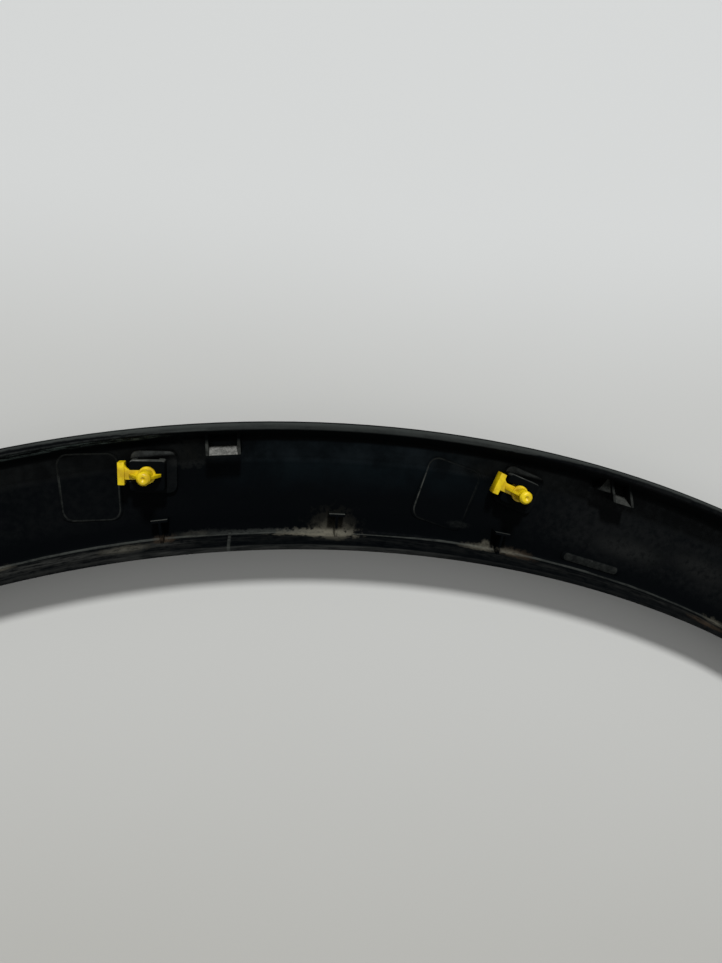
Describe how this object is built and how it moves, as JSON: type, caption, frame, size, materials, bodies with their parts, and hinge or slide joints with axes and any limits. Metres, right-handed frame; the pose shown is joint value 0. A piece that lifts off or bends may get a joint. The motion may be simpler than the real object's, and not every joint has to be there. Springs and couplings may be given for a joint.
{
  "type": "fender moulding",
  "caption": "Arched black plastic fender moulding with a hollow ribbed back, a raised rim, an inner flange and yellow push-in clips in slotted towers.",
  "frame": {"origin": "centre of the box round the part, on the surface that its outer face lies on", "axes": "+X along the arch's widest span, +Y from the wheel to the crown, +Z out of the hollow back towards the car body"},
  "size_m": [0.8924, 0.4081, 0.021],
  "materials": {
    "black_plastic": "black injection moulded plastic, satin back with dust, grained outer face",
    "yellow_plastic": "bright yellow moulded nylon, slightly satin"
  },
  "bodies": {
    "root": {"moulding": "black_plastic", "clip_1": "yellow_plastic", "clip_2": "yellow_plastic", "clip_3": "yellow_plastic", "clip_4": "yellow_plastic", "clip_5": "yellow_plastic", "clip_6": "yellow_plastic", "clip_7": "yellow_plastic", "clip_8": "yellow_plastic"}
  },
  "joints": []
}
